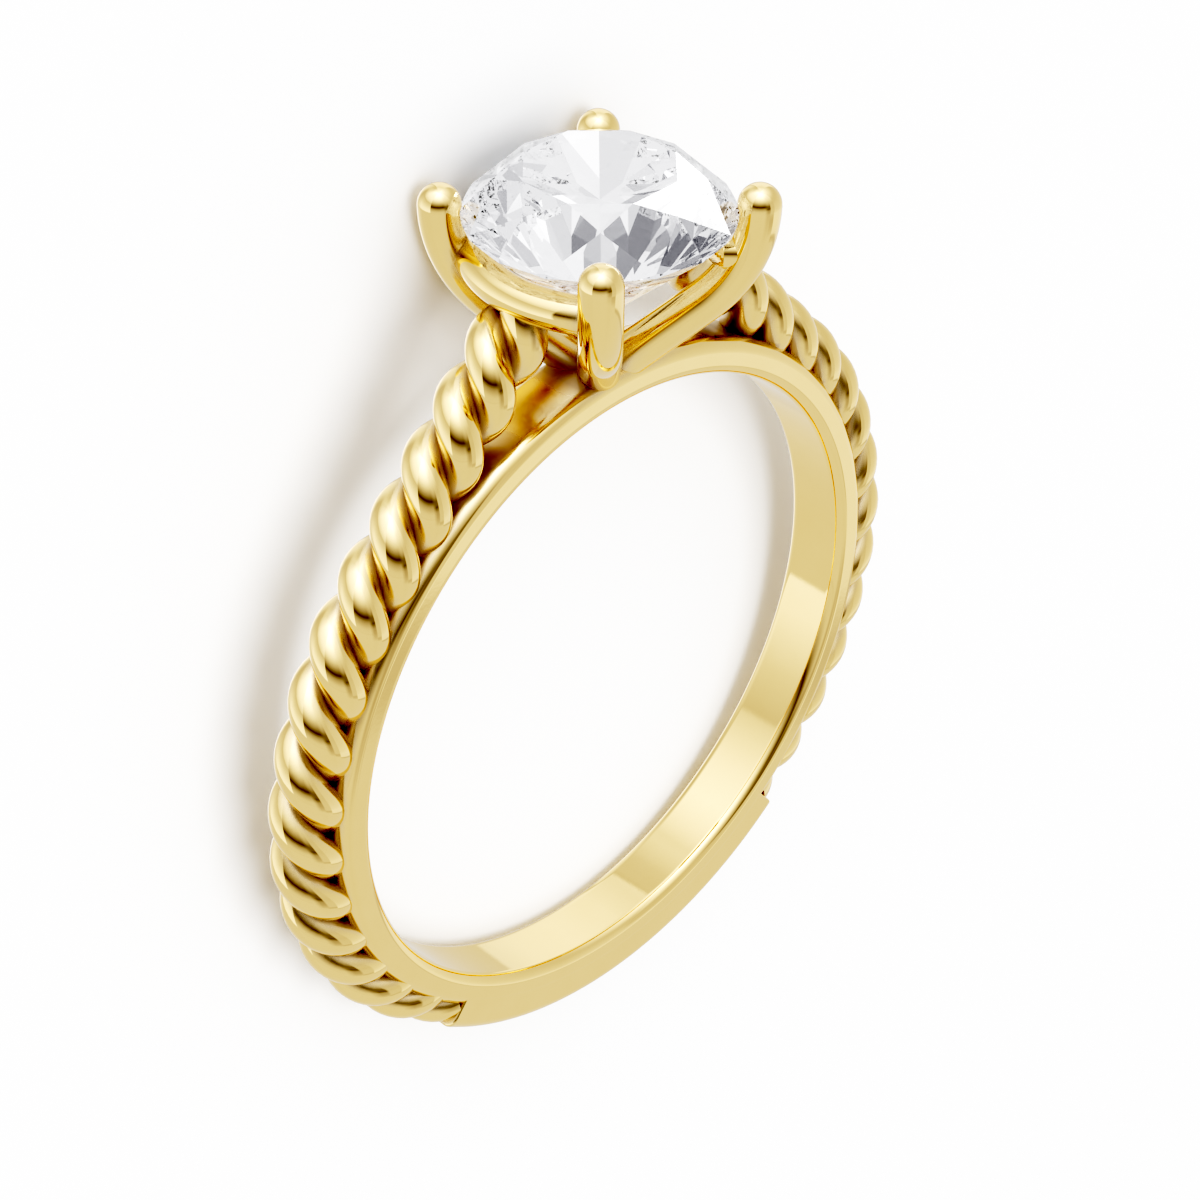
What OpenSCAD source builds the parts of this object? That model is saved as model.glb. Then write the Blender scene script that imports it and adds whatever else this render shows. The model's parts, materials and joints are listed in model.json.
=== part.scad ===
/* [Band] */
// Radius of the finger hole
bore_r = 8.65; // [7.4:0.05:11]
// Width of the band along the finger
band_w = 1.9; // [1.5:0.05:3]
// Thickness of the band under the ropes
band_t = 0.95; // [0.7:0.05:1.6]
// Rounding along the band's outer edges
outer_edge_r = 0.35; // [0.1:0.05:0.6]
// Rounding along the edges of the finger hole
bore_edge_r = 0.3; // [0.05:0.05:0.4]

/* [Plain section] */
// Thickness of the plain section at the bottom of the ring
plain_t = 1.65; // [1.3:0.05:2.4]
// Arc of the plain section round the finger, in degrees
plain_arc = 77; // [40:1:120]

/* [Ropes] */
// Radius of one strand
strand_r = 0.51; // [0.4:0.01:0.7]
// Distance of each strand's centre from the axis of its rope
strand_offset = 0.43; // [0.3:0.01:0.6]
// Length of rope in which a strand turns once
rope_pitch = 3.06; // [2.4:0.02:5]
// Turn of the strands at the rope's upper end, in degrees
rope_turn = 155; // [0:1:180]
// Height of the rope's axis above the band at the sides of the ring
rope_lift = 0.32; // [0.1:0.02:0.6]
// How far the rope's axis sinks on its way down to the plain section
rope_drop = 0.45; // [0:0.05:0.7]
// How far the rope's axis ends below the axis of the side rail
rope_end_down = 0.56; // [0.3:0.02:0.9]
// How far the rope's axis ends inside the middle of the side rail
rope_end_in = 0.38; // [0:0.02:0.7]

/* [Head] */
// Height of the stone's girdle above the finger hole
girdle_rise = 4.85; // [4.3:0.05:6]
// Diameter of the wires that form the prongs
prong_d = 1.05; // [0.8:0.05:1.5]
// How far a prong covers the edge of the stone
prong_grip = 0.05; // [0.02:0.01:0.2]
// Height of a prong's tip above the girdle
prong_tip = 0.64; // [0.55:0.01:1.2]
// Slope of the wires' straight feet, in degrees
foot_slope = 40; // [34:1:46]
// Depth under the band's surface at which the wires cross
foot_sink = 0.52; // [0.3:0.02:0.7]
// Diameter of the side rails
rail_d = 0.92; // [0.6:0.02:1]
// Depth of the side rails below the girdle
rail_down = 1; // [0.85:0.05:1.2]
// Radius of the side rails' bend
rail_bend_r = 3.4; // [2.9:0.1:6]

/* [Stone] */
// Diameter of the stone
stone_d = 6.45; // [5.6:0.05:7.4]
// Thickness of the girdle
girdle_t = 0.12; // [0.06:0.02:0.2]
// Diameter of the table across its corners
table_d = 3.8; // [3.2:0.05:4.4]
// Height of the crown from the girdle to the table
crown_h = 1.1; // [0.8:0.02:1.4]
// Angle of the pavilion's main facets, in degrees
pavilion_slope = 40.7; // [39:0.1:43]
// Gap between the stone and the gold
stone_gap = 0.02; // [0.01:0.01:0.05]

/* [Hidden] */
$fn = 96;

gold_colour = [0.87, 0.74, 0.45];
stone_colour = [0.93, 0.96, 0.98];

// The ring is worked out upright: the hole's axis is Y, the head points to +Z, the back of the ring to +Y
band_r = bore_r + band_t;
plain_r = bore_r + plain_t;
rope_r = strand_r + strand_offset;

// The stone's heights
stone_r = stone_d / 2;
table_r = table_d / 2;
girdle_z = bore_r + girdle_rise;
crown_z = girdle_z + girdle_t;
table_z = crown_z + crown_h;
culet_z = girdle_z - stone_r * tan(pavilion_slope);
lower_half_share = 0.23;

// The prongs: each stands upright under its domed tip and bends towards its straight foot
prong_r = prong_d / 2;
prong_at = stone_r + prong_r - prong_grip;
tip_z = crown_z + prong_tip;
dome_z = tip_z - prong_r;
foot_z = band_r - foot_sink;
bend_r = (dome_z - foot_z - prong_at * tan(foot_slope)) * cos(foot_slope) / (1 - sin(foot_slope));
bend_at = prong_at - bend_r;
bend_steps = 9;
dome_steps = 4;
dome_end_angle = 82;
wire_sides = 20;

// The side rails just clear the pavilion at their middle
rail_r = rail_d / 2;
rail_z = girdle_z - rail_down;
rail_at = stone_r - rail_down / tan(pavilion_slope) + (rail_r + 2 * stone_gap) / sin(pavilion_slope);
rail_centre = rail_bend_r - rail_at;
rail_end = (sqrt(2 * rail_bend_r ^ 2 - rail_centre ^ 2) - rail_centre) / 2;
rail_end_at = norm([rail_end, rail_end]);
rail_half_arc = asin(rail_end / rail_bend_r);
// The distance of a prong's axis from the head's axis at the height of the rails
prong_at_rail = bend_at + sqrt(bend_r ^ 2 - (dome_z - rail_z) ^ 2);
rail_ball_share = 0.97;
rail_stub_share = 0.8;

// The rope's axis: a straight line from the rail that runs onto a circle, and then sinks into the band
path_r = band_r + rope_lift;
path_top = [rail_at - rope_end_in, rail_z - rope_end_down];
path_straight = sqrt(path_top * path_top - path_r ^ 2);
path_leave = atan2(path_top[0], path_top[1]) + acos(path_r / norm(path_top));
path_side_angle = 90;
path_end = 180 - plain_arc / 2;
rope_overlap_angle = 0.6;
sink_power = 1.5;
steps_per_turn = 12;
rope_sides = 12;
path_step = rope_pitch / steps_per_turn;
reach_steps = 12;

// Lying: the ring is turned onto its back, and the head is raised until it and the band both touch z = 0.
// The head touches with its prongs or with the stone's girdle, whichever reaches farther out.
prong_y = prong_at * cos(45);
edge_y = band_w / 2 - outer_edge_r;
edge_z = plain_r - outer_edge_r;
function lean(y, z, r) =
    let (contact = [y - edge_y, z + edge_z])
    atan2(contact[0], contact[1]) + asin((r - outer_edge_r) / norm(contact));
lie_tilt = max(lean(prong_y, dome_z, prong_r), lean(stone_r, girdle_z, 0));
lie_z = edge_y * cos(lie_tilt) + edge_z * sin(lie_tilt) + outer_edge_r;
half_facet_angle = 22.5;
table_y = table_r * cos(half_facet_angle);
front_y = max(
    table_y * sin(lie_tilt) + table_z * cos(lie_tilt),
    prong_y * sin(lie_tilt) + dome_z * cos(lie_tilt) + prong_r);
back_y = edge_y * sin(lie_tilt) + edge_z * cos(lie_tilt) + outer_edge_r;
lie_y = (back_y - front_y) / 2;

module lying()
    translate([0, lie_y, lie_z])
        rotate([lie_tilt - 90, 0, 0])
            children();

// Half a section of a band from the hole's axis out to radius r, with rounded outer edges
module band_outline(r, from = 0) {
    corner = outer_edge_r;
    translate([from, -band_w / 2])
        square([r - corner - from, band_w]);
    translate([from, -band_w / 2 + corner])
        square([r - from, band_w - 2 * corner]);
    for (side = [-1, 1])
        translate([r - corner, side * (band_w / 2 - corner)])
            circle(corner);
}

module band()
    rotate([90, 0, 0])
        rotate_extrude()
            band_outline(band_r);

module plain_section()
    rotate([0, plain_arc / 2, 0])
        rotate([90, 0, 0])
            rotate([0, 0, -90])
                rotate_extrude(angle = plain_arc)
                    band_outline(plain_r, bore_r / 2);

// What the finger takes away: the hole with its rounded edges
module finger_hole() {
    wall = band_w / 2 - bore_edge_r;
    out = bore_r + bore_edge_r;
    rotate([90, 0, 0])
        rotate_extrude()
            difference() {
                translate([0, -band_w])
                    square([out, 2 * band_w]);
                translate([bore_r, -wall])
                    square([2 * bore_edge_r, 2 * wall]);
                for (side = [-1, 1])
                    translate([out, side * wall])
                        circle(bore_edge_r);
            }
}

// Reach of two twisted strands from the rope's axis in the direction phi, in a plane across the rope.
// The strand is a tube round a helix, so it is followed a little way before and behind that plane.
function strand_reach(phi) = max([
    for (k = [0, 1], step = [-reach_steps : reach_steps])
        let (
            along = strand_r * step / reach_steps,
            turn = phi - 180 * k - 360 * along / rope_pitch,
            rest = strand_r ^ 2 - along ^ 2 - (strand_offset * sin(turn)) ^ 2
        )
        if (rest >= 0) strand_offset * cos(turn) + sqrt(rest)
]);

// How far the rope's axis has sunk at an angle round the finger, and that sinking summed over the angle
function past_side(angle) = max(0, angle - path_side_angle);
function sunk(angle) = rope_drop * (past_side(angle) / past_side(path_end)) ^ sink_power;
function sunk_sum(angle) = sunk(angle) * past_side(angle) / (sink_power + 1);

// Stations of the rope's axis, each [x, z, direction of the outward normal, length of rope above it]
straight_count = ceil(path_straight / path_step);
round_count = ceil(path_r * (path_end - path_leave) * PI / 180 / path_step);
leave_point = path_r * [sin(path_leave), cos(path_leave)];
straight_stations = [
    for (i = [0 : straight_count - 1])
        let (p = path_top + (leave_point - path_top) * i / straight_count)
        [p[0], p[1], path_leave, path_straight * i / straight_count]
];
round_stations = [
    for (i = [0 : round_count])
        let (
            angle = path_leave + (path_end + rope_overlap_angle - path_leave) * i / round_count,
            r = path_r - sunk(angle),
            length = (path_r * (angle - path_leave) - sunk_sum(angle)) * PI / 180
        )
        [r * sin(angle), r * cos(angle), angle, path_straight + length]
];
stations = concat(straight_stations, round_stations);
rope_section = [for (k = [0 : rope_sides - 1]) strand_reach(360 * k / rope_sides)];

// A closed skin through rings of points, all with the same number of points
module skin(rings) {
    sides = len(rings[0]);
    last = len(rings) - 1;
    faces = [
        for (i = [0 : last - 1], k = [0 : sides - 1])
            let (
                a = i * sides + k,
                b = i * sides + (k + 1) % sides
            )
            [a, b, b + sides, a + sides]
    ];
    caps = [
        [for (k = [sides - 1 : -1 : 0]) k],
        [for (k = [0 : sides - 1]) last * sides + k]
    ];
    polyhedron([for (ring = rings, p = ring) p], concat(faces, caps), convexity = 10);
}

// The right rope, from its upper end to the plain section
module rope()
    skin([
        for (s = stations) [
            for (k = [0 : rope_sides - 1])
                let (
                    turn = rope_turn - 360 * s[3] / rope_pitch + 360 * k / rope_sides,
                    out = rope_section[k] * cos(turn)
                )
                [s[0] + out * sin(s[2]), rope_section[k] * sin(turn), s[1] + out * cos(s[2])]
        ]
    ]);

// Stations of a prong's wire in the XZ plane, each [x, z, rise of the wire in degrees, radius]
foot_station = [-prong_r * cos(foot_slope), foot_z - prong_r * sin(foot_slope), foot_slope, prong_r];
bend_stations = [
    for (i = [0 : bend_steps])
        let (rise = foot_slope + (90 - foot_slope) * i / bend_steps)
        [bend_at + bend_r * sin(rise), dome_z - bend_r * cos(rise), rise, prong_r]
];
dome_stations = [
    for (i = [1 : dome_steps])
        let (up = dome_end_angle * i / dome_steps)
        [prong_at, dome_z + prong_r * sin(up), 90, prong_r * cos(up)]
];

// One wire from its foot in the band up to the prong's domed tip
module prong()
    skin([
        for (s = concat([foot_station], bend_stations, dome_stations)) [
            for (k = [0 : wire_sides - 1])
                let (
                    turn = 360 * k / wire_sides,
                    out = s[3] * cos(turn)
                )
                [s[0] - out * sin(s[2]), s[3] * sin(turn), s[1] + out * cos(s[2])]
        ]
    ]);

// The rail between the two prongs on the +X side, whose ends turn into the prongs
module side_rail() {
    translate([-rail_centre, 0, rail_z])
        rotate([0, 0, -rail_half_arc])
            rotate_extrude(angle = 2 * rail_half_arc)
                translate([rail_bend_r, 0])
                    circle(rail_r);
    for (side = [-1, 1])
        rotate([0, 0, 45 * side])
            translate([rail_end_at, 0, rail_z]) {
                sphere(rail_ball_share * rail_r);
                rotate([0, 90, 0])
                    cylinder(r = rail_stub_share * rail_r, h = prong_at_rail - rail_end_at);
            }
}

// The stone with its gap, as the seat that it takes from the gold
module seat() {
    reach = stone_r + stone_gap;
    steep = stone_gap / cos(pavilion_slope);
    rotate_extrude()
        polygon([
            [0, girdle_z - reach * tan(pavilion_slope) - steep],
            [reach, girdle_z - steep],
            [reach, crown_z + 2 * stone_gap],
            [table_r, table_z + 2 * stone_gap],
            [0, table_z + 2 * stone_gap]
        ]);
}

module ring_body()
    color(gold_colour)
        lying()
            difference() {
                union() {
                    band();
                    plain_section();
                    for (side = [0, 1])
                        mirror([side, 0, 0]) {
                            rope();
                            side_rail();
                        }
                    for (corner = [45 : 90 : 315])
                        rotate([0, 0, corner])
                            prong();
                }
                finger_hole();
                seat();
            }

// A ring of count points at radius r and height z, the first of them turned by start
function ring_points(count, r, z, start) = [
    for (k = [0 : count - 1])
        let (angle = start + 360 * k / count)
        [r * cos(angle), r * sin(angle), z]
];

// The round brilliant: eight stars, eight kites and sixteen halves over the girdle, and eight mains and
// sixteen halves under it. The corners of its table stand at 22.5 degrees and every 45 degrees from there.
module brilliant() {
    star_r = (table_r * cos(half_facet_angle) + stone_r) / 2;
    star_z = crown_z + (stone_r - star_r * cos(half_facet_angle)) * crown_h / (stone_r - table_r);
    half_r = lower_half_share * stone_r;
    half_z = culet_z + half_r * cos(half_facet_angle) * tan(pavilion_slope);
    mains = 8;
    table = ring_points(mains, table_r, table_z, half_facet_angle);
    stars = ring_points(mains, star_r, star_z, 2 * half_facet_angle);
    upper = ring_points(2 * mains, stone_r, crown_z, half_facet_angle);
    lower = ring_points(2 * mains, stone_r, girdle_z, half_facet_angle);
    halves = ring_points(mains, half_r, half_z, 2 * half_facet_angle);
    star = mains;
    top = 2 * mains;
    under = 4 * mains;
    half = 6 * mains;
    culet = 7 * mains;
    last = mains - 1;
    faces = concat(
        [[for (k = [last : -1 : 0]) k]],
        [for (k = [0 : last]) [k, (k + 1) % mains, star + k]],
        [for (k = [0 : last]) [k, star + k, top + 2 * k, star + (k + last) % mains]],
        [for (k = [0 : last]) [star + k, top + 2 * k + 1, top + 2 * k]],
        [for (k = [0 : last]) [star + k, top + (2 * k + 2) % (2 * mains), top + 2 * k + 1]],
        [
            for (k = [0 : 2 * mains - 1])
                let (next = (k + 1) % (2 * mains))
                [top + k, top + next, under + next, under + k]
        ],
        [for (k = [0 : last]) [half + k, under + 2 * k, under + 2 * k + 1]],
        [for (k = [0 : last]) [half + k, under + 2 * k + 1, under + (2 * k + 2) % (2 * mains)]],
        [for (k = [0 : last]) [culet, half + (k + last) % mains, under + 2 * k, half + k]]
    );
    polyhedron(concat(table, stars, upper, lower, halves, [[0, 0, culet_z]]), faces);
}

module stone()
    color(stone_colour)
        lying()
            brilliant();

ring_body();
stone();
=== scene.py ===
import json
from math import acos, asin, atan2, ceil, cos, hypot, pi, radians, sin, sqrt, tan

import bmesh
import bpy
from mathutils import Matrix, Vector
from mathutils.bvhtree import BVHTree
from mathutils.kdtree import KDTree


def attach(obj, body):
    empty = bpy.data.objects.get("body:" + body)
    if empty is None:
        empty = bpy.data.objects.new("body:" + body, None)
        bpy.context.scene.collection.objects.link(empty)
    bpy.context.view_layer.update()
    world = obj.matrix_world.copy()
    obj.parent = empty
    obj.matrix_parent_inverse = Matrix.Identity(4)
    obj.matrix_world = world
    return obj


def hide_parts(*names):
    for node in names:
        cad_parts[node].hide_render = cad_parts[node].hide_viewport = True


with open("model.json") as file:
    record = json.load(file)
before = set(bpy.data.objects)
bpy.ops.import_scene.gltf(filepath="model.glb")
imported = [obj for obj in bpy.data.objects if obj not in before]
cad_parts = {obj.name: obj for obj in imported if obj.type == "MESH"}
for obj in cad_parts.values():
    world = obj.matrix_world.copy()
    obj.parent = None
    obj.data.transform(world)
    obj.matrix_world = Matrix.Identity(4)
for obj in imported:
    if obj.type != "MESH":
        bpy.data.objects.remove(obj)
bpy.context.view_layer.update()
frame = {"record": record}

MM = 0.001

# Directions in which the gold's hollows are felt out for their painted shade, and how far
FEELERS = 64
FEEL_START = 0.004 * MM
FEEL_REACH = 3 * MM
FEEL_LEAST_COS = 0.1

# Fineness of the meshes: the steps along a wire that is built or only measured, and the sides round it
STRAND_STEP = 0.1
WIRE_STEP = 0.08
EXACT_STEP = 0.02
STRAND_SIDES = 36
RAIL_SIDES = 48
PRONG_SIDES = 56
DOME_STEPS = 12
HOLE_SIDES = 360
PLAIN_STEPS = 110
ROUND_STEPS = 10
PLAIN_END_STEPS = 5
BORE_EDGE_STEPS = 8
STONE_SIDES = 128

# Where a surface's exact normal is used: not further from the face's own than this cosine, with the faces
# that look at the finger told by their slope, and the rounded corners by their depth in millimetres
LEAST_AGREEMENT = 0.7
INWARD = -0.02
IN_CORNER = 1e-4

# Numbers of the forms whose faces keep their own flat normals
SEAT_FORM = 98
FINGER_FORM = 99

# The ring's own axes, from the finger hole's mount: across, back along the finger, and up to the head
HOLE = next(m for m in frame["record"]["mounts"] if m["name"] == "finger_hole")
CENTRE = Vector(HOLE["pos_m"])
ACROSS = Vector((1, 0, 0))
BACKWARD = -Vector(HOLE["axis"])
HEAD = ACROSS.cross(BACKWARD)
BORE_R = HOLE["dims"]["r_mm"]

# Band and plain section, in millimetres
BAND_HALF_W = 0.95
BAND_R = BORE_R + 0.95
OUTER_EDGE_R = 0.35
BORE_EDGE_R = 0.3
PLAIN_R = BORE_R + 1.65
PLAIN_ARC = radians(77)
PLAIN_END_R = 0.08
PLAIN_INNER_R = BORE_R + 0.4
CUT_GAP = 0.02

# Ropes
STRAND_R = 0.51
STRAND_OFFSET = 0.43
ROPE_PITCH = 3.06
ROPE_TURN = radians(155)
ROPE_LIFT = 0.32
ROPE_DROP = 0.45
ROPE_END_DOWN = 0.56
ROPE_END_IN = 0.38
ROPE_END_OVERLAP = radians(0.6)
ROPE_SINK_POWER = 1.5

# Stone
STONE_R = 3.225
TABLE_R = 1.9
GIRDLE_RISE = 4.85
GIRDLE_T = 0.12
CROWN_H = 1.1
PAVILION_SLOPE = radians(40.7)
STONE_GAP = 0.02
GIRDLE_Z = BORE_R + GIRDLE_RISE
CROWN_Z = GIRDLE_Z + GIRDLE_T
TABLE_Z = CROWN_Z + CROWN_H
CULET_Z = GIRDLE_Z - STONE_R * tan(PAVILION_SLOPE)
EIGHTH = pi / 4
LOWER_HALF_SHARE = 0.23

# Prongs and rails
PRONG_R = 0.525
PRONG_GRIP = 0.05
PRONG_TIP = 0.64
FOOT_SLOPE = radians(40)
FOOT_SINK = 0.52
RAIL_R = 0.46
RAIL_DOWN = 1.0
RAIL_BEND_R = 3.4
RAIL_END_IN = 0.25
PRONG_AT = STONE_R + PRONG_R - PRONG_GRIP
DOME_Z = CROWN_Z + PRONG_TIP - PRONG_R
FOOT_Z = BAND_R - FOOT_SINK
BEND_R = (DOME_Z - FOOT_Z - PRONG_AT * tan(FOOT_SLOPE)) * cos(FOOT_SLOPE) / (1 - sin(FOOT_SLOPE))
BEND_AT = PRONG_AT - BEND_R
RAIL_Z = GIRDLE_Z - RAIL_DOWN
RAIL_AT = STONE_R - RAIL_DOWN / tan(PAVILION_SLOPE) + (RAIL_R + 2 * STONE_GAP) / sin(PAVILION_SLOPE)

# The camera, fitted to the photograph: its place in the ring's own axes, in millimetres, and its lens
CAMERA_AT = (-39.695, -38.833, 44.312)
CAMERA_AZIMUTH = radians(45.69)
CAMERA_ELEVATION = radians(37.12)
CAMERA_ROLL = radians(0.323)
FOCAL_SHARE = 2717.3 / 1200


def place(x, y, z):
    """A point of the upright ring, in millimetres, where the ring lies."""
    return CENTRE + MM * (x * ACROSS + y * BACKWARD + z * HEAD)


def aim(x, y, z):
    """A direction of the upright ring, where the ring lies."""
    return (x * ACROSS + y * BACKWARD + z * HEAD).normalized()


def to_object(name, points, faces):
    mesh = bpy.data.meshes.new(name)
    mesh.from_pydata([place(*p) for p in points], [], faces)
    shape = bmesh.new()
    shape.from_mesh(mesh)
    bmesh.ops.recalc_face_normals(shape, faces=shape.faces[:])
    shape.to_mesh(mesh)
    shape.free()
    piece = bpy.data.objects.new(name, mesh)
    bpy.context.scene.collection.objects.link(piece)
    return piece


def skin(name, rings, closed=False):
    """A closed mesh through rings of points; open at neither end, or joined end to start."""
    sides = len(rings[0])
    points = [p for ring in rings for p in ring]
    faces = []
    count = len(rings)
    for i in range(count if closed else count - 1):
        a = i * sides
        b = (i + 1) % count * sides
        for k in range(sides):
            n = (k + 1) % sides
            faces.append((a + k, a + n, b + n, b + k))
    if not closed:
        faces.append(tuple(reversed(range(sides))))
        faces.append(tuple(range((count - 1) * sides, count * sides)))
    return to_object(name, points, faces)


def tube(name, line, radius, sides, dome=False):
    """A round tube along a line of points. With dome, its last end is a half ball."""
    line = [Vector(p) for p in line]
    tangents = []
    for i in range(len(line)):
        step = line[min(i + 1, len(line) - 1)] - line[max(i - 1, 0)]
        tangents.append(step.normalized())
    normal = tangents[0].orthogonal().normalized()
    rings = []
    for p, t in zip(line, tangents):
        normal = (normal - t * normal.dot(t)).normalized()
        other = t.cross(normal)
        rings.append((p, t, normal.copy(), other, radius))
    if dome:
        p, t, normal, other, _ = rings[-1]
        for k in range(1, DOME_STEPS):
            turn = k / DOME_STEPS * pi / 2
            rings.append((p + t * radius * sin(turn), t, normal, other, radius * cos(turn)))
    return skin(name, [
        [
            p + r * (cos(2 * pi * k / sides) * n + sin(2 * pi * k / sides) * o)
            for k in range(sides)
        ]
        for p, t, n, o, r in rings
    ])


# The rope's axis, as in the part: a straight line from the rail onto a circle, then sinking into the band
PATH_R = BAND_R + ROPE_LIFT
PATH_TOP = (RAIL_AT - ROPE_END_IN, RAIL_Z - ROPE_END_DOWN)
PATH_STRAIGHT = sqrt(PATH_TOP[0] ** 2 + PATH_TOP[1] ** 2 - PATH_R ** 2)
PATH_LEAVE = atan2(*PATH_TOP) + acos(PATH_R / hypot(*PATH_TOP))
PATH_SIDE = pi / 2
PATH_END = pi - PLAIN_ARC / 2


def rope_station(length):
    """The rope's axis at a length from its upper end: x, z and the outward normal's angle from the head."""
    if length < PATH_STRAIGHT:
        share = length / PATH_STRAIGHT
        x = PATH_TOP[0] + (PATH_R * sin(PATH_LEAVE) - PATH_TOP[0]) * share
        z = PATH_TOP[1] + (PATH_R * cos(PATH_LEAVE) - PATH_TOP[1]) * share
        return x, z, PATH_LEAVE
    angle = PATH_LEAVE + (length - PATH_STRAIGHT) / PATH_R
    for _ in range(4):
        sunk, summed = rope_sinking(angle)
        angle = PATH_LEAVE + (length - PATH_STRAIGHT + summed) / PATH_R
    r = PATH_R - sunk
    return r * sin(angle), r * cos(angle), angle


def rope_sinking(angle):
    """How far the axis has sunk at an angle, and that depth summed over the angle."""
    past = max(0, angle - PATH_SIDE)
    sunk = ROPE_DROP * (past / (PATH_END - PATH_SIDE)) ** ROPE_SINK_POWER
    return sunk, sunk * past / (ROPE_SINK_POWER + 1)


ROPE_END = PATH_END + ROPE_END_OVERLAP
ROPE_LENGTH = PATH_STRAIGHT + PATH_R * (ROPE_END - PATH_LEAVE) - rope_sinking(ROPE_END)[1]


def strand_point(length, side, strand):
    x, z, angle = rope_station(length)
    turn = ROPE_TURN + strand * pi - 2 * pi * length / ROPE_PITCH
    out = STRAND_OFFSET * cos(turn)
    return Vector((side * (x + out * sin(angle)), STRAND_OFFSET * sin(turn), z + out * cos(angle)))


def strand_line(side, strand, step):
    count = ceil(ROPE_LENGTH / step)
    return [strand_point(ROPE_LENGTH * i / count, side, strand) for i in range(count + 1)]


def prong_line(corner, step):
    """From the foot inside the band up to the centre of the tip's dome."""
    foot_at = BEND_AT + BEND_R * sin(FOOT_SLOPE)
    profile = []
    start = -PRONG_R
    run = foot_at / cos(FOOT_SLOPE)
    count = ceil((run - start) / step)
    for i in range(count):
        along = start + (run - start) * i / count
        profile.append((along * cos(FOOT_SLOPE), FOOT_Z + along * sin(FOOT_SLOPE)))
    arc = pi / 2 - FOOT_SLOPE
    count = ceil(arc * BEND_R / step)
    for i in range(count + 1):
        turn = -arc + arc * i / count
        profile.append((BEND_AT + BEND_R * cos(turn), DOME_Z + BEND_R * sin(turn)))
    return [Vector((d * cos(corner), d * sin(corner), z)) for d, z in profile]


def rail_line(side, step):
    """An arc between two prongs, whose ends turn into the prongs."""
    centre = RAIL_BEND_R - RAIL_AT
    end = (sqrt(2 * RAIL_BEND_R ** 2 - centre ** 2) - centre) / 2
    half = asin(end / RAIL_BEND_R)
    count = ceil(2 * half * RAIL_BEND_R / step)
    points = []
    for i in range(count + 1):
        turn = -half + 2 * half * i / count
        points.append(Vector((side * (RAIL_BEND_R * cos(turn) - centre), RAIL_BEND_R * sin(turn), RAIL_Z)))
    reach = PRONG_AT / sqrt(2) - RAIL_END_IN
    first = Vector((side * reach, -reach, RAIL_Z))
    last = Vector((side * reach, reach, RAIL_Z))
    return [first] + points + [last]


def band_outline(outer_r, inner_r, inner_edge, inset=0.0):
    """The section of a band as [radius, place along the finger], with rounded corners."""
    outline = []
    half_w = BAND_HALF_W - inset
    corners = (
        (inner_r, -half_w, inner_edge, 180),
        (outer_r - inset, -half_w, OUTER_EDGE_R, 270),
        (outer_r - inset, half_w, OUTER_EDGE_R, 0),
        (inner_r, half_w, inner_edge, 90),
    )
    for r, y, edge, start in corners:
        in_r = edge if r == inner_r else -edge
        in_y = edge if y < 0 else -edge
        for k in range(ROUND_STEPS + 1):
            turn = radians(start + 90 * k / ROUND_STEPS)
            outline.append((r + in_r + edge * cos(turn), y + in_y + edge * sin(turn)))
    return outline


def round_ring(outline, angle):
    """An outline set across the ring, at an angle round the finger from the head."""
    return [Vector((r * sin(angle), y, r * cos(angle))) for r, y in outline]


def band():
    outline = band_outline(BAND_R, BORE_R, BORE_EDGE_R)
    rings = [round_ring(outline, 2 * pi * i / HOLE_SIDES) for i in range(HOLE_SIDES)]
    return skin("band", rings, closed=True)


def plain_section():
    """The thick section at the bottom, whose end edges are a little rounded."""
    rings = []
    half = PLAIN_ARC / 2
    for k in range(PLAIN_END_STEPS + 1):
        turn = pi / 2 * k / PLAIN_END_STEPS
        inset = PLAIN_END_R * (1 - sin(turn))
        back = PLAIN_END_R * (1 - cos(turn)) / PLAIN_R
        rings.append((inset, -half + back))
    for k in range(1, PLAIN_STEPS):
        rings.append((0, -half + PLAIN_ARC * k / PLAIN_STEPS))
    rings += [(inset, -angle) for inset, angle in reversed(rings[:PLAIN_END_STEPS + 1])]
    return skin("plain_section", [
        round_ring(band_outline(PLAIN_R, PLAIN_INNER_R, BORE_EDGE_R, inset), pi + angle)
        for inset, angle in rings
    ])


def finger():
    """What the finger takes from the ropes and wires: a little more than the hole with its rounded edges."""
    sides = HOLE_SIDES
    wall = BAND_HALF_W - BORE_EDGE_R
    hole_r = BORE_R + CUT_GAP
    turns = [pi / 2 * k / BORE_EDGE_STEPS for k in range(BORE_EDGE_STEPS + 1)]
    half = [(wall + BORE_EDGE_R * sin(turn), hole_r + BORE_EDGE_R * (1 - cos(turn))) for turn in turns]
    half.append((2 * BAND_HALF_W, hole_r + BORE_EDGE_R))
    profile = [(-y, r) for y, r in reversed(half)] + half
    return skin("finger", [
        [Vector((r * sin(2 * pi * k / sides), y, r * cos(2 * pi * k / sides))) for k in range(sides)]
        for y, r in profile
    ])


def seat():
    """The stone with its gap, which is cut out of the prongs and rails."""
    sides = STONE_SIDES
    reach = STONE_R + STONE_GAP
    steep = STONE_GAP / cos(PAVILION_SLOPE)
    profile = (
        (0.01, GIRDLE_Z - reach * tan(PAVILION_SLOPE) - steep),
        (reach, GIRDLE_Z - steep),
        (reach, CROWN_Z + 2 * STONE_GAP),
        (TABLE_R, TABLE_Z),
    )
    return skin("seat", [
        [Vector((r * cos(2 * pi * k / sides), r * sin(2 * pi * k / sides), z)) for k in range(sides)]
        for r, z in profile
    ])


def combine(target, other, how):
    change = target.modifiers.new(how, "BOOLEAN")
    change.operation = how
    change.solver = "MANIFOLD"
    change.object = other
    with bpy.context.temp_override(object=target, active_object=target, selected_objects=[target]):
        bpy.ops.object.modifier_apply(modifier=change.name)
    bpy.data.objects.remove(other)


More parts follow.
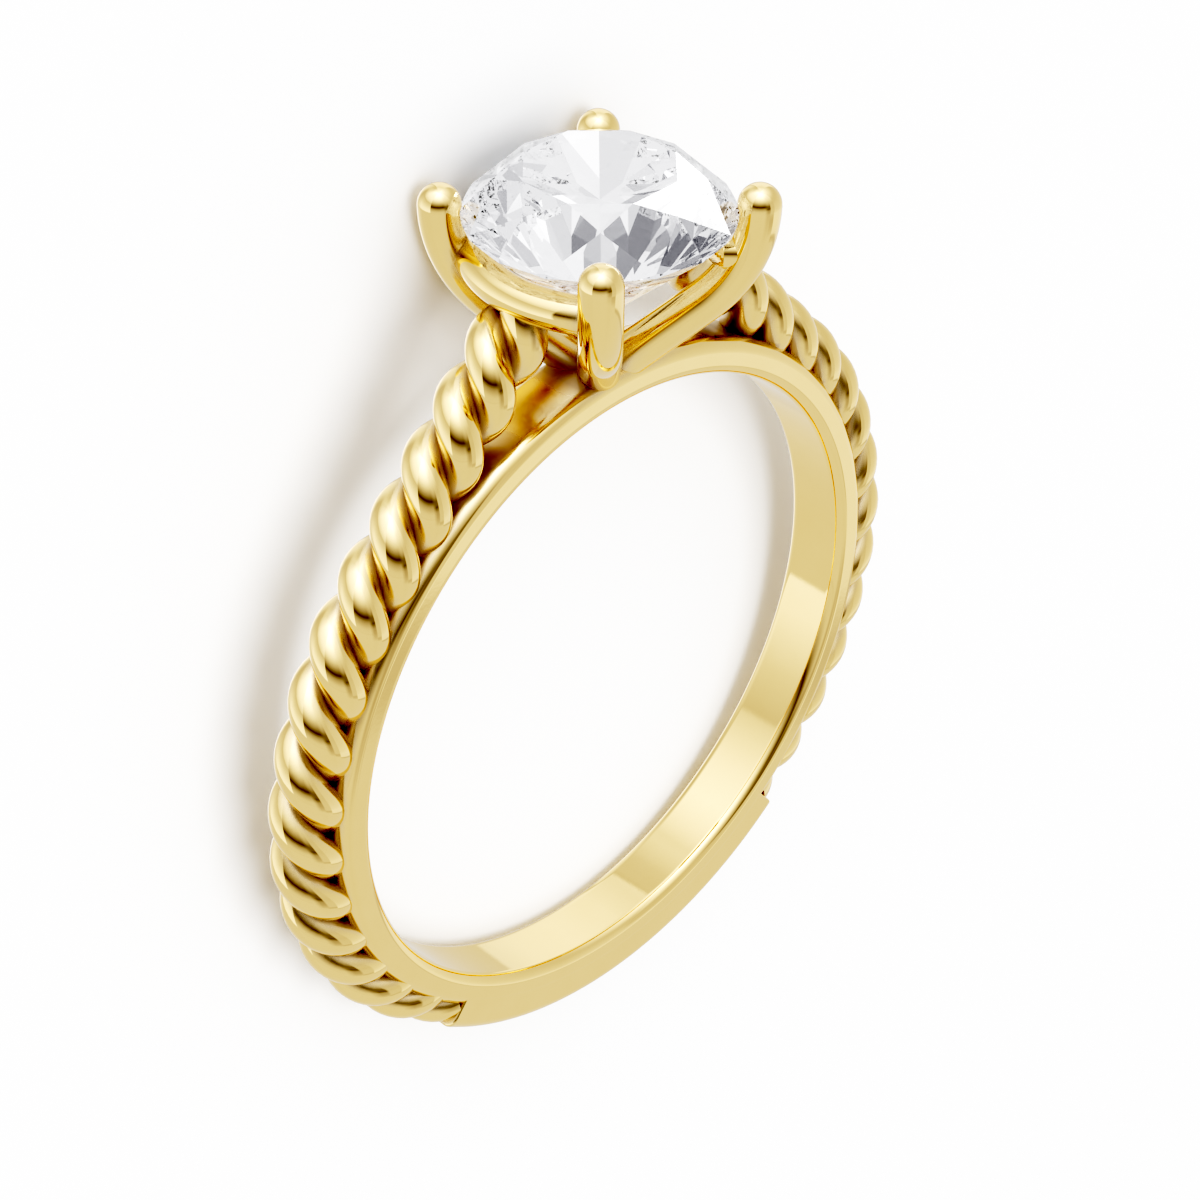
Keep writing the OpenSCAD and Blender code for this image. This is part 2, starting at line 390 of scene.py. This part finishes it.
def mark(piece, index):
    """Gives each of the piece's faces the number of the form that it belongs to."""
    form = piece.data.attributes.new("form", "INT", "FACE")
    form.data.foreach_set("value", [index] * len(piece.data.polygons))
    return piece


class RoundForm:
    """A tube's axis, from which its exact surface normals come."""

    def __init__(self, line):
        self.points = [place(*p) for p in line]
        self.tangents = []
        last = len(line) - 1
        for i in range(len(line)):
            step = self.points[min(i + 1, last)] - self.points[max(i - 1, 0)]
            self.tangents.append(step.normalized())
        self.tree = KDTree(len(line))
        for i, p in enumerate(self.points):
            self.tree.insert(p, i)
        self.tree.balance()

    def normal(self, point):
        _, i, _ = self.tree.find(point)
        along = (point - self.points[i]).dot(self.tangents[i])
        if i == len(self.points) - 1:
            along = min(along, 0)
        return (point - self.points[i] - self.tangents[i] * along).normalized()


def band_normal(face_normal, point, outer_r):
    """The exact normal of a band's surface, flat or in a rounded corner."""
    local = (point - CENTRE) / MM
    x, y, z = local.dot(ACROSS), local.dot(BACKWARD), local.dot(HEAD)
    r = hypot(x, z)
    out = aim(x, 0, z)
    side = 1 if y > 0 else -1
    if face_normal.dot(out) > INWARD:
        edge, deep = OUTER_EDGE_R, r - (outer_r - OUTER_EDGE_R)
    else:
        edge, deep = BORE_EDGE_R, BORE_R + BORE_EDGE_R - r
        out = -out
    wide = abs(y) - (BAND_HALF_W - edge)
    if deep > IN_CORNER and wide > IN_CORNER:
        return (out * deep + BACKWARD * side * wide).normalized()
    if wide > deep:
        return BACKWARD * side
    return out


def gold():
    """All the gold as one closed mesh: the parts are united, and each keeps its exact normals."""
    forms = {0: BAND_R, 1: PLAIN_R}
    body = mark(band(), 0)
    combine(body, mark(plain_section(), 1), "UNION")
    soldered = []
    for side in (-1, 1):
        for strand in (0, 1):
            forms[len(forms)] = RoundForm(strand_line(side, strand, EXACT_STEP))
            rope = tube("strand", strand_line(side, strand, STRAND_STEP), STRAND_R, STRAND_SIDES)
            soldered.append(mark(rope, len(forms) - 1))
        forms[len(forms)] = RoundForm(rail_line(side, EXACT_STEP))
        rail = tube("rail", rail_line(side, WIRE_STEP), RAIL_R, RAIL_SIDES)
        soldered.append(mark(rail, len(forms) - 1))
    for corner in range(4):
        angle = pi / 4 + corner * pi / 2
        forms[len(forms)] = RoundForm(prong_line(angle, EXACT_STEP))
        prong = tube("prong", prong_line(angle, WIRE_STEP), PRONG_R, PRONG_SIDES, dome=True)
        soldered.append(mark(prong, len(forms) - 1))
    wires = soldered[0]
    for other in soldered[1:]:
        combine(wires, other, "UNION")
    combine(wires, mark(finger(), FINGER_FORM), "DIFFERENCE")
    combine(wires, mark(seat(), SEAT_FORM), "DIFFERENCE")
    combine(body, wires, "UNION")
    body.name = "ring_gold"
    mesh = body.data
    numbers = [0] * len(mesh.polygons)
    mesh.attributes["form"].data.foreach_get("value", numbers)
    normals = [Vector((0, 0, 0))] * len(mesh.loops)
    for face in mesh.polygons:
        form = forms.get(numbers[face.index])
        for i in face.loop_indices:
            point = mesh.vertices[mesh.loops[i].vertex_index].co
            if form is None:
                exact = face.normal
            elif isinstance(form, RoundForm):
                exact = form.normal(point)
            else:
                exact = band_normal(face.normal, point, form)
            normals[i] = exact if exact.dot(face.normal) > LEAST_AGREEMENT else face.normal
    mesh.shade_smooth()
    mesh.normals_split_custom_set(normals)
    feel_hollows(mesh)
    return body


def feel_hollows(mesh):
    """Stores at each vertex how closely the gold itself surrounds it, from 0 in the open to 1 in a cleft, as the
    mask of the gold's painted shade and roughness in its hollows.
    """
    tree = BVHTree.FromPolygons([v.co for v in mesh.vertices], [tuple(p.vertices) for p in mesh.polygons])
    golden = pi * (3 - sqrt(5))
    heights = [1 - (2 * i + 1) / FEELERS for i in range(FEELERS)]
    feelers = [
        Vector((sqrt(1 - h * h) * cos(golden * i), sqrt(1 - h * h) * sin(golden * i), h))
        for i, h in enumerate(heights)
    ]
    hollows = []
    for v in mesh.vertices:
        start = v.co + v.normal * FEEL_START
        felt = whole = 0
        for way in feelers:
            share = way.dot(v.normal)
            if share > FEEL_LEAST_COS:
                whole += share
                distance = tree.ray_cast(start, way, FEEL_REACH)[3]
                if distance is not None:
                    felt += share * (1 - distance / FEEL_REACH)
        hollows.append(felt / whole)
    stored = mesh.attributes.new("hollow", "FLOAT", "POINT")
    stored.data.foreach_set("value", hollows)


def cut_plane(shape, azimuth, slope, u, z, up):
    """Cuts a convex shape by a facet's plane, which leans by slope and passes through (u, z) along azimuth."""
    lean = Vector((sin(slope) * cos(azimuth), sin(slope) * sin(azimuth), cos(slope) * (1 if up else -1)))
    through = Vector((u * cos(azimuth), u * sin(azimuth), z))
    cut = bmesh.ops.bisect_plane(
        shape, geom=shape.verts[:] + shape.edges[:] + shape.faces[:], dist=1e-6,
        plane_co=through, plane_no=lean, clear_outer=True)
    edges = [g for g in cut["geom_cut"] if isinstance(g, bmesh.types.BMEdge)]
    if len(edges) > 2:
        bmesh.ops.contextual_create(shape, geom=edges)


def brilliant():
    """A round brilliant with a round girdle, cut facet by facet like the real one."""
    shape = bmesh.new()
    sides = STONE_SIDES
    turns = [2 * pi * k / sides for k in range(sides)]
    bottom = [shape.verts.new((STONE_R * cos(turn), STONE_R * sin(turn), CULET_Z - 1)) for turn in turns]
    top = [shape.verts.new((v.co.x, v.co.y, TABLE_Z)) for v in bottom]
    shape.faces.new(reversed(bottom))
    shape.faces.new(top)
    for k in range(sides):
        n = (k + 1) % sides
        shape.faces.new((bottom[k], bottom[n], top[n], top[k]))
    shape.normal_update()
    turn = EIGHTH / 2
    near = cos(turn / 2)
    star_r = (TABLE_R * cos(turn) + STONE_R) / 2
    crown_tan = CROWN_H / (STONE_R - TABLE_R)
    star_z = CROWN_Z + (STONE_R - star_r * cos(turn)) * crown_tan
    half_r = LOWER_HALF_SHARE * STONE_R
    half_z = CULET_Z + half_r * cos(turn) * tan(PAVILION_SLOPE)
    upper_tan = (star_z - CROWN_Z) / ((STONE_R - star_r) * near)
    lower_tan = (GIRDLE_Z - half_z) / ((STONE_R - half_r) * near)
    star_tan = (TABLE_Z - star_z) / (star_r - TABLE_R * cos(turn))
    for k in range(8):
        main = turn + k * EIGHTH
        cut_plane(shape, main, atan2(crown_tan, 1), STONE_R, CROWN_Z, True)
        cut_plane(shape, main, PAVILION_SLOPE, STONE_R, GIRDLE_Z, False)
        cut_plane(shape, main + turn, atan2(star_tan, 1), TABLE_R * cos(turn), TABLE_Z, True)
        for side in (-1, 1):
            half = main + side * turn / 2
            cut_plane(shape, half, atan2(upper_tan, 1), STONE_R * near, CROWN_Z, True)
            cut_plane(shape, half, atan2(lower_tan, 1), STONE_R * near, GIRDLE_Z, False)
    for v in shape.verts:
        v.co = place(*v.co)
    bmesh.ops.recalc_face_normals(shape, faces=shape.faces[:])
    mesh = bpy.data.meshes.new("round_brilliant")
    shape.to_mesh(mesh)
    shape.free()
    piece = bpy.data.objects.new("round_brilliant", mesh)
    bpy.context.scene.collection.objects.link(piece)
    return piece


# Colours: from the darker to the lighter of each surface's tints, and the gold's painted shade in its hollows
GOLD_TINTS = ((0.91, 0.69, 0.385, 1), (0.95, 0.725, 0.415, 1))
SHADED_GOLD = (0.7, 0.59, 0.45, 1)
STONE_TINTS = ((0.975, 0.975, 0.985, 1), (0.995, 0.995, 0.995, 1))
FLOOR_TINTS = ((0.895, 0.895, 0.895, 1), (0.905, 0.905, 0.905, 1))
# The share of surrounding gold from which and at which a hollow gets painted shade and more roughness, and how
# rough it then is
SHADE_AND_ROUGH_FROM = 0.08
SHADE_AND_ROUGH_AT = 0.5
DULL_ROUGHNESS = 0.4
GOLD_ROUGHNESS = (0.03, 0.07)
FLOOR_ROUGHNESS = 0.6
STONE_IOR = 2.42


def nodes_of(name):
    material = bpy.data.materials.new(name)
    material.use_nodes = True
    tree = material.node_tree
    return material, tree.nodes, tree.links, tree.nodes["Principled BSDF"]


def cloudy(nodes, links, scale, darker, lighter):
    """A colour that wanders softly between two: its place, its noise and its colour ramp."""
    where = nodes.new("ShaderNodeTexCoord")
    cloud = nodes.new("ShaderNodeTexNoise")
    cloud.inputs["Scale"].default_value = scale
    cloud.inputs["Detail"].default_value = 4
    links.new(where.outputs["Object"], cloud.inputs["Vector"])
    tint = nodes.new("ShaderNodeValToRGB")
    tint.color_ramp.elements[0].color = darker
    tint.color_ramp.elements[1].color = lighter
    links.new(cloud.outputs["Fac"], tint.inputs["Fac"])
    return where, cloud, tint


def mix_colours(nodes, links, share, first, second):
    """A colour between two others, of which the second may be a plain one."""
    mix = nodes.new("ShaderNodeMix")
    mix.data_type = "RGBA"
    links.new(share, mix.inputs[0])
    links.new(first, mix.inputs[6])
    if isinstance(second, tuple):
        mix.inputs[7].default_value = second
    else:
        links.new(second, mix.inputs[7])
    return mix.outputs[2]


def gold_material():
    """Polished yellow gold: fine rubbing marks, slight unevenness in gloss and colour, and painted shade in the
    hollows, which are also rougher.
    """
    material, nodes, links, shader = nodes_of("polished_gold")
    shader.inputs["Metallic"].default_value = 1
    where, cloud, tint = cloudy(nodes, links, 900, *GOLD_TINTS)
    hollow = nodes.new("ShaderNodeAttribute")
    hollow.attribute_name = "hollow"
    deep = nodes.new("ShaderNodeMapRange")
    deep.inputs["From Min"].default_value = SHADE_AND_ROUGH_FROM
    deep.inputs["From Max"].default_value = SHADE_AND_ROUGH_AT
    links.new(hollow.outputs["Fac"], deep.inputs["Value"])
    # Painted shade: the colour darkens towards a dull brown where the gold surrounds itself
    colour = mix_colours(nodes, links, deep.outputs["Result"], tint.outputs["Color"], SHADED_GOLD)
    links.new(colour, shader.inputs["Base Color"])
    gloss = nodes.new("ShaderNodeMapRange")
    gloss.inputs["To Min"].default_value, gloss.inputs["To Max"].default_value = GOLD_ROUGHNESS
    links.new(cloud.outputs["Fac"], gloss.inputs["Value"])
    dull = nodes.new("ShaderNodeMath")
    dull.operation = "MULTIPLY_ADD"
    dull.inputs[1].default_value = DULL_ROUGHNESS
    links.new(deep.outputs["Result"], dull.inputs[0])
    links.new(gloss.outputs["Result"], dull.inputs[2])
    links.new(dull.outputs["Value"], shader.inputs["Roughness"])
    rub = nodes.new("ShaderNodeTexNoise")
    rub.inputs["Scale"].default_value = 6000
    rub.inputs["Detail"].default_value = 2
    links.new(where.outputs["Object"], rub.inputs["Vector"])
    bump = nodes.new("ShaderNodeBump")
    bump.inputs["Strength"].default_value = 0.02
    bump.inputs["Distance"].default_value = 0.00002
    links.new(rub.outputs["Fac"], bump.inputs["Height"])
    links.new(bump.outputs["Normal"], shader.inputs["Normal"])
    return material


def stone_material():
    """Colourless cut stone, a very little uneven in tint."""
    material, nodes, links, shader = nodes_of("clear_stone")
    shader.inputs["Transmission Weight"].default_value = 1
    tint = cloudy(nodes, links, 400, *STONE_TINTS)[2]
    links.new(tint.outputs["Color"], shader.inputs["Base Color"])
    shader.inputs["Roughness"].default_value = 0
    shader.inputs["IOR"].default_value = STONE_IOR
    return material


def floor():
    bpy.ops.mesh.primitive_plane_add(size=4, location=(0, 0, 0))
    piece = bpy.context.object
    piece.name = "floor"
    material, nodes, links, shader = nodes_of("pale_floor")
    tint = cloudy(nodes, links, 40, *FLOOR_TINTS)[2]
    links.new(tint.outputs["Color"], shader.inputs["Base Color"])
    shader.inputs["Roughness"].default_value = FLOOR_ROUGHNESS
    piece.data.materials.append(material)
    piece.visible_glossy = False
    piece.visible_transmission = False


# The studio's walls round the upright ring: the brightness over the height of a direction above the ring's
# own horizon, in degrees
BACK_LEFT = (
    (-90, 0.61), (-50, 0.62), (-30, 0.72), (-12, 0.64), (0, 0.55), (12, 0.48), (31, 0.5), (36, 0.62), (45, 0.7),
    (56, 0.76), (61, 0.78), (68, 1.0), (75, 1.3), (85, 1.6))
LEFT = (
    (-90, 0.59), (-19, 0.59), (-17.5, 1.02), (-7, 0.98), (0, 0.86), (6, 0.76), (12, 0.67), (19, 0.6), (27, 0.53),
    (28.5, 0.69), (37, 0.88), (44, 1.05), (50, 1.15), (60, 1.3), (70, 1.6), (82, 2.4))
RIGHT = (
    (-90, 0.6), (-40, 0.6), (-39, 0.48), (-37.5, 0.48), (-36.5, 0.74), (-30, 0.76), (-24, 0.69), (-15, 0.64),
    (-5, 0.61), (8, 0.58), (22, 0.54), (33, 0.55), (41, 0.64), (50, 0.78), (60, 0.95), (70, 1.25), (82, 2))
BACK_RIGHT = (
    (-90, 0.58), (0, 0.58), (2, 0.8), (16, 0.92), (30, 0.96), (45, 0.9), (53, 0.78), (75, 1.2), (85, 1.6))
BACK = (
    (-90, 0.6), (-46, 0.62), (-40, 1.0), (-36, 1.2), (-6, 1.2), (-4, 0.9), (25, 0.8), (45, 0.6), (57, 0.57),
    (63, 0.68), (75, 1.1), (85, 1.6))
BACK_SEAM = ((-90, 0.6), (0, 0.58), (30, 0.5), (50, 0.42), (70, 0.9), (85, 1.6))
FRONT = (
    (-90, 0.6), (-23, 0.6), (-22, 0.55), (-20.5, 0.59), (-13, 0.57), (-9, 0.52), (-4, 0.44), (0, 0.38), (4, 0.3),
    (8, 0.2), (11, 0.13), (13, 0.13), (16, 0.18), (20, 0.26), (24, 0.33), (28, 0.42), (32, 0.52), (36, 0.64),
    (39, 0.73), (43, 0.86), (50, 1.12), (56, 1.4), (62, 1.75), (68, 2.2), (80, 2.8))
FRONT_END = (
    (-90, 0.6), (-36, 0.59), (-30, 0.5), (-20, 0.41), (-10, 0.36), (-6, 0.27), (-1, 0.15), (3, 0.2), (10, 0.2),
    (14, 0.26), (20, 0.38), (25, 0.48), (30, 0.56), (36, 0.66), (44, 0.84), (54, 1.05), (60, 1.3), (70, 2),
    (80, 2.6))
NEAR_RIGHT = (
    (-90, 0.6), (-37, 0.6), (-34, 0.5), (-31, 0.46), (-28, 0.56), (-10, 0.55), (0, 0.52), (10, 0.53), (20, 0.51),
    (28, 0.56), (33, 0.64), (40, 0.76), (47, 0.9), (54, 1.0), (60, 1.15), (70, 1.6), (82, 2.4))
# The walls in turn from the left of the back: the bearing to the right of the front where each begins, and how
# softly, in degrees
WALLS = (
    (-160, 14, LEFT), (-88, 1, FRONT), (-14, 8, FRONT_END), (7, 2, NEAR_RIGHT), (30, 1, RIGHT),
    (108, 0.5, BACK_RIGHT), (150, 1, BACK_SEAM), (152.5, 1, BACK), (172, 8, BACK_LEFT))
BRIGHTEST = 4
# What shows through the stone: softboxes and black flags round the same ring, each laid over those before it,
# by their left, right, lower and upper edges and the edges' softness in degrees, and their brightness
STONE_WALL = 0.66
STONE_PANELS = (
    (-60, 12, -90, -50, 4, 1.15), (12, 75, -90, -50, 4, 0.8), (-160, -60, -90, -50, 4, 0.5),
    (126, 140, -42, -24, 1.5, 0.0), (138, 156, -23, -8, 2, 0.2), (114, 131, -23, -8, 2, 0.32),
    (164, 178, -34, -18, 2, 0.35), (170, 190, -14, 6, 2, 0.0), (-190, -158, -14, 6, 2, 0.0),
    (-124, -70, 23, 52, 3, 0.0), (-108, -78, 6, 23, 3, 0.3), (-70, -54, 26, 42, 3, 0.25),
    (-100, -78, 52, 60, 2, 0.35), (-20, 26, 32, 43, 2, 0.33), (3, 28, 21, 31, 2, 1.1),
    (-50, -28, 49, 63, 2, 1.3), (-72, -53, 52, 65, 2, 0.25), (-10, 6, 50, 60, 2, 1.0),
    (4, 28, 62, 80, 2, 0.4), (86, 106, -32, -20, 2, 0.42))
COOL = (0, 0, 0.015)
# The lamps: their strengths, and their widths and the glint's place in degrees
FLOOR_LAMP = 1.9
FLOOR_LAMP_ACROSS = 50
GLINT_LAMP = 1.8
GLINT_ACROSS = 44
GLINT_BEARING = 98
GLINT_HEIGHT = 31
# How often light may turn: with much fewer turns parts of the stone stay black
BOUNCES = 48


class Sky:
    """The world's nodes: numbers that depend on the direction alone, measured in the upright ring's axes."""

    def __init__(self, tree):
        self.nodes, self.links = tree.nodes, tree.links
        direction = self.nodes.new("ShaderNodeTexCoord").outputs["Generated"]
        across = self.along(direction, ACROSS)
        front = self.along(direction, -BACKWARD)
        head = self.along(direction, HEAD)
        self.bearing = self.math("ARCTAN2", across, front)
        self.turn = self.mapped(self.bearing, -pi, pi)
        self.rise = self.mapped(self.math("ARCSINE", head), -pi / 2, pi / 2)

    def along(self, direction, axis):
        dot = self.nodes.new("ShaderNodeVectorMath")
        dot.operation = "DOT_PRODUCT"
        dot.inputs[1].default_value = axis
        self.links.new(direction, dot.inputs[0])
        return dot.outputs["Value"]

    def put(self, value, socket):
        """Gives a node's input a number, or another node's output."""
        if isinstance(value, (int, float)):
            socket.default_value = value
        else:
            self.links.new(value, socket)

    def math(self, operation, first, second=0):
        node = self.nodes.new("ShaderNodeMath")
        node.operation = operation
        self.put(first, node.inputs[0])
        self.put(second, node.inputs[1])
        return node.outputs["Value"]

    def mapped(self, value, least, most):
        """0 up to the least value and 1 from the most one on."""
        share = self.nodes.new("ShaderNodeMapRange")
        share.inputs["From Min"].default_value = least
        share.inputs["From Max"].default_value = most
        self.links.new(value, share.inputs["Value"])
        return share.outputs["Result"]

    def past(self, angle, soft):
        """0 where the bearing is below an angle in degrees and 1 where it is above it."""
        return self.mapped(self.bearing, radians(angle - soft), radians(angle + soft))

    def ramp(self, share, positions, greys):
        node = self.nodes.new("ShaderNodeValToRGB")
        elements = node.color_ramp.elements
        while len(elements) < len(positions):
            elements.new(0.5)
        for element, position, grey in zip(elements, positions, greys):
            element.position = position
            element.color = (grey, grey, grey, 1)
        self.links.new(share, node.inputs["Fac"])
        return node.outputs["Color"]

    def wall(self, stops):
        """A brightness that follows stops of (height in degrees, brightness)."""
        positions = [(height + 90) / 180 for height, level in stops]
        greys = [level / BRIGHTEST for height, level in stops]
        return self.math("MULTIPLY", self.ramp(self.rise, positions, greys), BRIGHTEST)

    def between(self, share, reach, least, most, soft):
        """1 from one angle to another and 0 outside them, for a share of all angles from -reach to reach."""
        edges = ((least - soft, 0), (least + soft, 1), (most - soft, 1), (most + soft, 0))
        kept = [(angle, level) for angle, level in edges if abs(angle) <= reach]
        positions = [(angle + reach) / (2 * reach) for angle, level in kept]
        return self.ramp(share, positions, [level for angle, level in kept])

    def panel(self, left, right, low, high, soft):
        """1 inside a panel and 0 outside it."""
        sideways = self.between(self.turn, 180, left, right, soft)
        return self.math("MULTIPLY", sideways, self.between(self.rise, 90, low, high, soft))

    def blend(self, share, first, second):
        mix = self.nodes.new("ShaderNodeMix")
        self.links.new(share, mix.inputs[0])
        self.put(first, mix.inputs[2])
        self.put(second, mix.inputs[3])
        return mix.outputs[0]


def light():
    """A white studio, brightest overhead, whose front wall is dark at its foot, and a lamp for the floor."""
    world = bpy.data.worlds.new("studio")
    bpy.context.scene.world = world
    world.use_nodes = True
    sky = Sky(world.node_tree)
    seen = sky.wall(BACK_LEFT)
    for bearing, soft, stops in WALLS:
        seen = sky.blend(sky.past(bearing, soft), seen, sky.wall(stops))
    through = STONE_WALL
    for left, right, low, high, soft, level in STONE_PANELS:
        through = sky.blend(sky.panel(left, right, low, high, soft), through, level)
    path = sky.nodes.new("ShaderNodeLightPath")
    back = sky.nodes["Background"]
    cool = sky.nodes.new("ShaderNodeVectorMath")
    cool.inputs[1].default_value = COOL
    sky.links.new(through, cool.inputs[0])
    both = mix_colours(sky.nodes, sky.links, path.outputs["Is Transmission Ray"], seen, cool.outputs[0])
    sky.links.new(both, back.inputs["Color"])
    back.inputs["Strength"].default_value = 1.0
    data = bpy.data.lights.new("floor_lamp", "SUN")
    data.energy = FLOOR_LAMP
    data.angle = radians(FLOOR_LAMP_ACROSS)
    lamp = bpy.data.objects.new("floor_lamp", data)
    lamp.visible_glossy = False
    lamp.visible_transmission = False
    bpy.context.scene.collection.objects.link(lamp)


def glint(stone):
    """A round lamp that is mirrored in the stone alone."""
    data = bpy.data.lights.new("glint_lamp", "SUN")
    data.energy = GLINT_LAMP
    data.angle = radians(GLINT_ACROSS)
    lamp = bpy.data.objects.new("glint_lamp", data)
    bearing, height = radians(GLINT_BEARING), radians(GLINT_HEIGHT)
    towards = sin(bearing) * cos(height) * ACROSS - cos(bearing) * cos(height) * BACKWARD + sin(height) * HEAD
    lamp.rotation_euler = towards.to_track_quat("Z", "Y").to_euler()
    lamp.visible_transmission = False
    lamp.visible_diffuse = False
    bpy.context.scene.collection.objects.link(lamp)
    lit = bpy.data.collections.new("lit_by_glint_lamp")
    lit.objects.link(stone)
    lamp.light_linking.receiver_collection = lit


# The picture's tone: scene brightness and shown brightness, both linear
TONE = (
    (0.0, 0.0), (0.1, 0.002), (0.111, 0.0116), (0.146, 0.065), (0.193, 0.162), (0.254, 0.296), (0.334, 0.456),
    (0.439, 0.617), (0.578, 0.76), (0.76, 0.88), (0.95, 0.965), (1.1, 1.0))


def tone():
    view = bpy.context.scene.view_settings
    view.view_transform = "Standard"
    view.look = "None"
    view.use_curve_mapping = True
    mapping = view.curve_mapping
    white = TONE[-1][0]
    mapping.white_level = (white, white, white)
    curve = mapping.curves[3]
    while len(curve.points) < len(TONE):
        curve.points.new(0.5, 0.5)
    for point, (scene_value, shown) in zip(curve.points, TONE):
        point.location = (scene_value / white, shown)
    mapping.update()


def bounces():
    """Lets light turn often enough inside the stone and between the strands."""
    cycles = bpy.context.scene.cycles
    cycles.max_bounces = BOUNCES
    cycles.glossy_bounces = BOUNCES
    cycles.transmission_bounces = BOUNCES


def camera():
    data = bpy.data.cameras.new("camera")
    data.sensor_width = 36
    data.lens = 36 * FOCAL_SHARE
    data.clip_start = 0.001
    data.clip_end = 10
    piece = bpy.data.objects.new("camera", data)
    bpy.context.scene.collection.objects.link(piece)
    a, e, roll = CAMERA_AZIMUTH, CAMERA_ELEVATION, CAMERA_ROLL
    look = aim(sin(a) * cos(e), cos(a) * cos(e), -sin(e))
    right = aim(cos(a), -sin(a), 0)
    up = right.cross(look)
    turned_right = cos(roll) * right + sin(roll) * up
    turned_up = cos(roll) * up - sin(roll) * right
    frame_matrix = Matrix((turned_right, turned_up, -look)).transposed().to_4x4()
    frame_matrix.translation = place(*CAMERA_AT)
    piece.matrix_world = frame_matrix
    bpy.context.scene.camera = piece


camera()
floor()
light()
tone()
bounces()
ring = gold()
ring.data.materials.clear()
ring.data.materials.append(gold_material())
ring.visible_transmission = False
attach(ring, "root")
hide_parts("ring_body")
stone = brilliant()
stone.data.materials.append(stone_material())
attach(stone, "root")
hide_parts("stone")
glint(stone)
